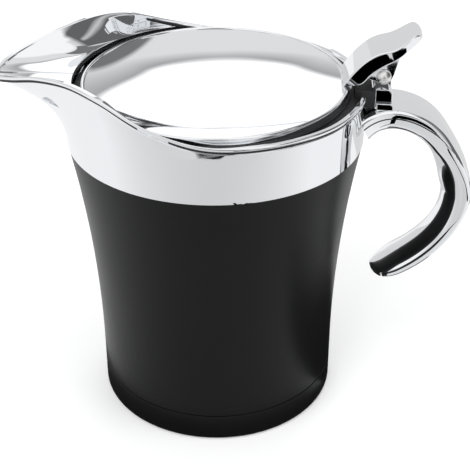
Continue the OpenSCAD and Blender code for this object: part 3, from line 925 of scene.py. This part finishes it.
class BOAT_OT_handle(bpy.types.Operator):
    """Makes the strap with the hinge post, the band inside it and a dark strip of painted
    shade in the groove between them
    """

    bl_idname = "boat.make_handle"
    bl_label = "Make handle"

    def execute(self, context):
        sizes = context.scene.boat_handle
        lever = context.scene.boat_lever
        half, flare = sizes.half_width / MM, sizes.flare / MM
        root, root_length, lower_half = 50, 16, 80

        def half_at(x, z):
            if z > lower_half:
                return half + flare * (1 - clamped((x - root) / root_length)) ** 2
            return half * tongue(x)

        steps = 24
        last = len(HANDLE_CURVES) * steps
        closing, bend, rise_at_end = last - 1.5, last - 6, 1.3
        stations = list(range(bend)) + [bend + i / 4 for i in range(25)]
        line = chained(HANDLE_CURVES, steps)
        line = [through(line, i) for i in stations]
        outer, inner, seam = [], [], []
        for i, p, n in zip(stations, line, normals_along(line)):
            groove, gap, start, lean, turn, depth, edge = handle_side(i)
            outline = handle_outline(half_at(*p), start, lean, turn, depth, edge,
                                     sizes.crown / MM)
            if i > closing:
                rise = rise_at_end * ((i - closing) / (last - closing)) ** 2
                outline = [(y, rise + d * (1 - rise / depth)) for y, d in outline]
                inner.append(handle_section(p, n, outline, 0, BEYOND))
                continue
            outer.append(handle_section(p, n, outline, 0, groove))
            inner.append(handle_section(p, n, outline, groove + gap, BEYOND))
            # A dark strip in the groove between strap and band: painted shade for the shaded
            # groove
            w, near, far = half_at(*p) - 1.2, groove - 0.2, groove + gap + 0.2
            seam.append(section_at(p, n, ((-w, near), (w, near), (w, far), (-w, far))))
        middle = sum((Vector(p) for p in inner[-1]), Vector()) / len(inner[-1])
        small, ahead = 0.03, Vector((-0.3, 0, -0.1))
        inner.append([tuple(middle + (Vector(p) - middle) * small + ahead)
                      for p in inner[-1]])

        post = [(57, 118.5), (63.6, 119), (63.6, 124.4), (62.9, 126)]
        post += arc(lever.pin_x / MM + 0.05, lever.pin_z / MM, EYE, 0, 180, 20)
        post += [(56.6, 131), (54.4, 128.6), (53.4, 126), (53.4, 118.5)]
        lower = [(57.2, 124), (63.2, 124), (63.2, 130), (61.8, 131.5), (57.2, 131.5)]
        base = [(57.8, 119), (63.7, 119), (63.7, 125.4), (62.8, 126.4), (57.8, 126.5)]
        strap = [lofted(outer), slab(post, sizes.post / MM, 0.35),
                 slab(lower, sizes.lower / MM), slab(base, sizes.base / MM)]
        add_shapes("handle_strap", strap, "chrome", "vessel", "handle_shell")
        add_shapes("handle_band", [lofted(inner)], "chrome", "vessel", "handle_grip")
        add_shapes("handle_seam", [lofted(seam)], "plastic", "vessel", "handle_grip")
        return {"FINISHED"}


# Lever

class BOAT_OT_lever(bpy.types.Operator):
    """Makes the thumb lever, its cheeks, the pin and the cap on the pin"""

    bl_idname = "boat.make_lever"
    bl_label = "Make lever and pin"

    def execute(self, context):
        sizes = context.scene.boat_lever
        half = sizes.half_width / MM
        pin_x, pin_z = sizes.pin_x / MM, sizes.pin_z / MM
        count, edge_radius, taper_start, taper_length = 56, 0.55, 62.6, 10.2
        draft_start, draft_length = 60, 7
        top = resampled(chained(LEVER_TOP, 16) + list(LEVER_TIP), count)
        under_curve = [through(LEVER_UNDER, i / 6)
                       for i in range((len(LEVER_UNDER) - 1) * 6 + 1)]
        under = resampled(under_curve, count)
        sections = []
        for (tx, tz), (ux, uz) in zip(top, under):
            reach = max(0.0, (max(tx, ux) - taper_start) / taper_length)
            w = half * max(0.02, 1 - reach ** 2.6) ** 0.4
            tall = math.dist((tx, tz), (ux, uz))
            edge = min(edge_radius, 0.4 * tall, 0.4 * w)
            draft = sizes.draft + sizes.tip_draft * clamped((tx - draft_start) / draft_length)
            t, u = Vector((0, tx, tz)), Vector((0, ux, uz))
            down = (u - t).normalized()
            shape = []
            for sign, upper in ((-1, True), (1, True), (1, False), (-1, False)):
                start, inward, side = (t, down, w) if upper else (u, -down, w - draft * tall)
                bend = []
                for i in range(5):
                    a = math.pi / 2 * i / 4
                    bend.append((sign * (side - edge * (1 - math.sin(a))),
                                 start + inward * (edge * (1 - math.cos(a)))))
                if upper == (sign < 0):
                    bend.reverse()
                shape += bend
            sections.append([(p.y, y, p.z) for y, p in shape])
        pieces = [lofted(sections)]
        washer = 0.4
        gap, cheek = context.scene.boat_handle.post / MM + washer, sizes.cheek / MM
        outline = [(54.2, 135.4), (57.0, 134.4)]
        outline += arc(pin_x, pin_z, EYE, -140, -20, 14)
        outline += [(63.4, 137.2), (65, 143.8), (60, 141), (56, 138)]
        for side in (-1, 1):
            pieces.append(slab(outline, cheek / 2, middle=side * (gap + cheek / 2)))
        foot = [(45.3, 130.3), (48.4, 131.2), (48.8, 133.4), (45.9, 133.6)]
        pieces.append(slab(foot, half - 0.1, 0.35))
        add_shapes("lever", pieces, "chrome", "lid", "thumb_lever")

        reach, shank = gap + cheek, 1.5
        for name, radius, turn, back, node in (
                ("pin_head", sizes.dome / MM, 1, -reach, "hinge_pin"),
                ("pin_end", 2.5, -1, -0.5, "pin_cap")):
            dome = [(0, back), (shank, back), (shank, 0), (radius - 0.1, 0)]
            dome += arc(0, 0.02, radius, 0, 90, 14)[:-1] + [(0, radius)]
            points, faces = turned(dome, 64)
            points = [(pin_x + x, -turn * (reach + z), pin_z + y) for x, y, z in points]
            add_shapes(name, [(points, faces)], "polished", "lid", node)
        return {"FINISHED"}


# Parts inside

class BOAT_OT_inside(bpy.types.Operator):
    """Makes the fasteners and finishes the parts that lie inside"""

    bl_idname = "boat.make_inside"
    bl_label = "Make inside"

    def execute(self, context):
        tree = pair_tree()
        head = [(0, 0), (2.6, 0), (2.6, 1.5), (1.25, 1.5), (1.25, 7.9), (0, 7.9)]
        points, faces = turned(rounded(head, [0, 0.3, 0.2, 0.1, 0.3, 0], 3), 48)
        screw = ([(z, y, x) for x, y, z in points], faces)
        rod = [(0, 0), (0.9, 0), (0.9, 4), (0, 4)]
        stud = turned(rounded(rod, [0, 0.15, 0.15, 0], 3), 32)
        for name, shape, first, spacing, body, node in (
                ("handle_screw_pair", screw, (0.0504, -0.005, 0.1192), 0.01,
                 "vessel", "handle_screws"),
                ("lever_stud_pair", stud, (0.0464, -0.004, low("lever_studs", 2)), 0.008,
                 "lid", "lever_studs")):
            made = baked(name, make_mesh(node, [shape]), tree, {
                "Count": 2, "First": first, "Spacing": (0, spacing, 0),
                "Material": finished("steel")})
            tidy_mesh(made)
            add_piece(name, made, "steel", body, node)
        for finish, names in (
                ("steel", ("shell_bottom", "inner_liner", "lid_liner")),
                ("rubber", ("foot_ring", "rim_gasket", "throat_seal", "lid_seal")),
                ("plastic", ("throat_ring", "hinge_washers"))):
            for name in names:
                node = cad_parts[name]
                node.data.materials.clear()
                node.data.materials.append(finished(finish))
        return {"FINISHED"}


# Stage

def sheet_mesh(name, corners):
    """A single flat face."""
    mesh = bpy.data.meshes.new(name)
    mesh.from_pydata(corners, [], [tuple(range(len(corners)))])
    return mesh


def toward(tree, azimuth):
    """Cosine of the angle round the object between a place and an azimuth."""
    aim = (math.sin(azimuth), math.cos(azimuth), 0)
    flat = add_node(tree, "ShaderNodeVectorMath", {0: spot_in(tree, "Object"), 1: (1, 1, 0)},
                    operation="MULTIPLY")
    unit = add_node(tree, "ShaderNodeVectorMath", {0: flat.outputs[0]},
                    operation="NORMALIZE")
    along = add_node(tree, "ShaderNodeVectorMath", {0: unit.outputs[0], 1: aim},
                     operation="DOT_PRODUCT")
    return Value(along.outputs["Value"])


def floor_level(tree, settings):
    """Level of the mirrored floor: lower towards the camera and in a wedge behind."""
    camera_side, wedge = math.pi, math.radians(27)
    front = remap(toward(tree, camera_side), 0.35, 1.0, settings.floor_mirrored,
                  settings.floor_front)
    behind = remap(toward(tree, wedge), 0.9, 0.97, 0.0, 1.0)
    return blend(behind, front, settings.floor_behind)


def floor_finish(settings):
    """Pale floor: shaded and near white to the camera, the mirrored level to mirrors."""
    finish, tree = blank_finish("Pale floor")
    shader = tree.nodes["Principled BSDF"]
    cloud = pattern(tree, "noise", 3, 2, 0.5)
    fill(shader, {"Roughness": 0.9, "Specular IOR Level": 0.0,
                  "Base Color": tinted(cloud, settings.floor, 0.995, 1.005)})
    lift = add_node(tree, "ShaderNodeEmission", {
        "Strength": ray(tree, "Is Camera Ray") * settings.floor_lift})
    seen = add_node(tree, "ShaderNodeAddShader", {0: shader.outputs[0], 1: lift.outputs[0]})
    mirrored = add_node(tree, "ShaderNodeEmission", {
        "Color": (0.985, 0.992, 1, 1), "Strength": floor_level(tree, settings)})
    choice = add_node(tree, "ShaderNodeMixShader", {
        0: ray(tree, "Is Glossy Ray"), 1: seen.outputs[0], 2: mirrored.outputs[0]})
    fill(tree.nodes["Material Output"], {"Surface": choice.outputs[0]})
    return finish


def card_finish(name, level):
    """Card of one level that only mirrors see."""
    finish, tree = blank_finish(name)
    glow = add_node(tree, "ShaderNodeEmission", {"Strength": level})
    fill(tree.nodes["Material Output"], {"Surface": glow.outputs[0]})
    return finish


def foot_shadow_outline(radius, behind):
    """Dark disc under the foot, a painted contact shadow that mirrors see on the floor,
    smaller behind it on the handle's side.
    """
    points = []
    for degrees in range(0, 360, 5):
        a = math.radians(degrees)
        share = clamped(2 * math.cos(a - math.radians(50)) - 0.2)
        r = radius - (radius - behind) * share
        points.append((r * math.cos(a), r * math.sin(a), 0.1))
    return points


# Cards round the object for its mirrors: name, level, corners in millimetres
CARDS = (
    # Dark disc under the foot that mirrors see: a painted contact shadow on the floor
    ("card_foot", 0.04, foot_shadow_outline(radius=57, behind=47)),
    # Dark sheet on the floor under the handle that mirrors see: a painted shadow of the handle
    ("card_grip", 0.02, ((46, -8, 0.2), (80, -45, 0.2), (112, -55, 0.2), (116, 50, 0.2),
                         (84, 60, 0.2), (60, 46, 0.2), (48, 30, 0.2))),
    ("card_front", 0.0, ((50, -250, 2), (87, -247, 2), (98, -256, 2), (112, -285, 2),
                         (112, -298, 2), (98, -302, 2), (97, -334, 2), (88, -334, 2),
                         (87, -306, 2), (50, -318, 2))),
    ("card_accent", 0.0, ((-260, -2990, 2), (157, -2200, 2), (640, -2930, 2))),
    ("card_side", 0.68, ((86, -145, 1), (118, -140, 1), (138, -160, 1), (132, -182, 1),
                         (86, -176, 1))),
    ("card_tip", 0.0, ((98, -256, 2), (112, -246, 2), (135, -205, 2), (158, -160, 2),
                       (185, -115, 2), (212, -85, 2), (232, -100, 2), (200, -170, 2),
                       (165, -235, 2), (128, -288, 2), (112, -285, 2))),
    ("card_behind", 0.74, ((10, 60, 165), (30, 60, 160), (36, 60, 148), (56, 60, 130),
                           (56, 60, 60), (160, 60, 60), (160, 60, 220), (10, 60, 220))),
)


class BOAT_OT_stage(bpy.types.Operator):
    """Makes the floor, the light and the camera"""

    bl_idname = "boat.make_stage"
    bl_label = "Make stage"

    def execute(self, context):
        settings = context.scene.boat_stage
        scene = context.scene
        scene.view_settings.view_transform = "Standard"

        camera = bpy.data.cameras.new("Camera")
        camera.lens = settings.lens
        camera.sensor_width = 36
        camera.clip_start, camera.clip_end = 0.01, 20
        eye = add_object("Camera", camera)
        a, e = settings.azimuth, settings.elevation
        back = Vector((math.sin(a) * math.cos(e), -math.cos(a) * math.cos(e), math.sin(e)))
        eye.location = Vector(settings.aim) + back * settings.distance
        eye.rotation_euler = (-back).to_track_quat("-Z", "Y").to_euler()
        scene.camera = eye

        wide, sunk = 3, -0.0002
        floor = add_object("floor", sheet_mesh("floor", [
            (-wide, -wide, sunk), (wide, -wide, sunk), (wide, wide, sunk),
            (-wide, wide, sunk)]))
        floor.data.materials.append(floor_finish(settings))
        for name, level, corners in CARDS:
            card = add_object(name, sheet_mesh(
                name, [tuple(c * MM for c in p) for p in corners]))
            card.data.materials.append(card_finish(name, level))
            card.visible_camera = card.visible_diffuse = card.visible_shadow = False
            card.visible_transmission = card.visible_volume_scatter = False

        for name, place, size, power in (
                ("key_light", (-0.55, -0.75, 1.05), 0.9, 9.0),
                ("fill_light", (0.9, -0.35, 0.8), 0.8, 5.0),
                ("back_light", (0.1, 1.0, 0.9), 0.9, 5.0)):
            lamp = bpy.data.lights.new(name, "AREA")
            lamp.shape = "SQUARE"
            lamp.size = size
            lamp.energy = power
            light = add_object(name, lamp)
            light.location = place
            light.visible_glossy = False
            aim = Vector((0, 0, 0.07)) - Vector(place)
            light.rotation_euler = aim.to_track_quat("-Z", "Y").to_euler()
        make_sky(scene)
        return {"FINISHED"}


# What the chrome sees above the horizon. A patch spans azimuths west to east (0 is behind
# the object, 90 on the handle's side) and elevations low to high, with round corners and
# a soft edge. It leans by slant degrees a degree of elevation and narrows on each side by
# taper times the square of the degrees below its upper corners. Crisp makes its edge
# sharper towards the bottom. Later patches lie over earlier ones.
Patch = namedtuple("Patch", "west east low high corner soft slant taper crisp level")
SKY_BASE = 0.74
SKY = (
    Patch(110, 250, 14, 105, 12, 5, 0, 0, 0, 1.05),
    Patch(-75, 160, 62, 110, 6, 3, 0, 0, 0, 1.05),
    Patch(-60, -19, 30, 80, 6, 3, 0, 0, 0, 1.1),
    Patch(-27, 17, -20, 62, 14, 5, 0, 0, 0, 0.82),
    Patch(58, 132, -12, 52, 10, 4, 0, 0, 0, 0.14),
    Patch(8.6, 66, 20, 60, 3, 0.5, 0.08, 0, 0, 0.2),
    Patch(108.5, 115.5, -8, 44, 3, 3, -0.55, 0, 0, 0.6),
    Patch(166, 188, 21, 43, 11, 3, 0, 0, 0, 0.08),
    Patch(160, 192, -2.6, 16, 8, 1, 0, 0, 0, 0.0),
    Patch(-15.9, 5.9, -12, 46.9, 9.8, 2.4, 0, 0.0078, 0, 0.30),
    Patch(-14.2, 4.2, -12, 45.2, 9.2, 1.3, 0, 0.0078, 0.15, 1.3),
)


def patch_share(azimuth, elevation, patch):
    """How much of a patch lies in the direction that is looked at."""
    middle, half = (patch.west + patch.east) / 2, (patch.east - patch.west) / 2
    level, reach = (patch.low + patch.high) / 2, (patch.high - patch.low) / 2
    upward = elevation - level
    across = maths("WRAP", azimuth - middle - upward * patch.slant, 180.0, -180.0)
    below = maths("MAXIMUM", patch.high - patch.corner - 3 - elevation, 0.0)
    across = maths("ABSOLUTE", across) + below * below * patch.taper
    x, y = (maths("MAXIMUM", offset - (limit - patch.corner), 0.0)
            for offset, limit in ((across, half), (maths("ABSOLUTE", upward), reach)))
    apart = maths("SQRT", x * x + y * y) - patch.corner
    if patch.crisp:
        depth = maths("MAXIMUM", patch.high - elevation, 0.0)
        apart *= depth * patch.crisp + 1.0
    return remap(apart, -patch.soft, patch.soft, 1.0, 0.0)


def make_sky(scene):
    """White room to the camera; panels and dark walls to the chrome."""
    world = bpy.data.worlds.new("Studio")
    world.use_nodes = True
    scene.world = world
    tree = world.node_tree
    x, y, z = parts_of(spot_in(tree, "Generated"))
    azimuth = maths("DEGREES", maths("ARCTAN2", x, y))
    elevation = maths("DEGREES", maths("ARCSINE", z))
    level = SKY_BASE
    for patch in SKY:
        level = blend(patch_share(azimuth, elevation, patch), level, patch.level)
    level = blend(ray(tree, "Is Glossy Ray"), scene.boat_stage.room, level)
    fill(tree.nodes["Background"], {
        "Color": (0.99, 0.995, 1, 1),
        "Strength": maths("MAXIMUM", ray(tree, "Is Camera Ray"), level)})


# Panel and registration

class BOAT_PT_panel(bpy.types.Panel):
    """Lists the steps that build the gravy boat."""

    bl_label = "Gravy Boat"
    bl_idname = "BOAT_PT_panel"
    bl_space_type = "VIEW_3D"
    bl_region_type = "UI"
    bl_category = "Gravy Boat"

    def draw(self, context):
        layout = self.layout
        for step in STEPS:
            layout.operator(step.bl_idname)
        for name in GROUPS:
            box = layout.box()
            box.label(text=GROUPS[name].__doc__)
            group = getattr(context.scene, name)
            for prop in GROUPS[name].__annotations__:
                box.prop(group, prop)


GROUPS = {
    "boat_body": BodySizes, "boat_collar": CollarSizes, "boat_lid": LidSizes,
    "boat_handle": HandleSizes, "boat_lever": LeverSizes,
    "boat_finishes": Finishes, "boat_stage": StageSettings,
}
STEPS = (BOAT_OT_stage, BOAT_OT_body, BOAT_OT_collar, BOAT_OT_lid, BOAT_OT_handle,
         BOAT_OT_lever, BOAT_OT_inside)


def register():
    """Registers the classes and the scene's properties."""
    for item in (*GROUPS.values(), *STEPS, BOAT_PT_panel):
        bpy.utils.register_class(item)
    for name, group in GROUPS.items():
        setattr(bpy.types.Scene, name, PointerProperty(type=group))


def unregister():
    """Takes the classes and properties away again."""
    for name in GROUPS:
        delattr(bpy.types.Scene, name)
    for item in reversed((*GROUPS.values(), *STEPS, BOAT_PT_panel)):
        bpy.utils.unregister_class(item)


def main():
    register()
    bpy.ops.boat.make_stage()
    bpy.ops.boat.make_body()
    bpy.ops.boat.make_collar()
    bpy.ops.boat.make_lid()
    bpy.ops.boat.make_handle()
    bpy.ops.boat.make_lever()
    bpy.ops.boat.make_inside()


if __name__ == "__main__":
    main()
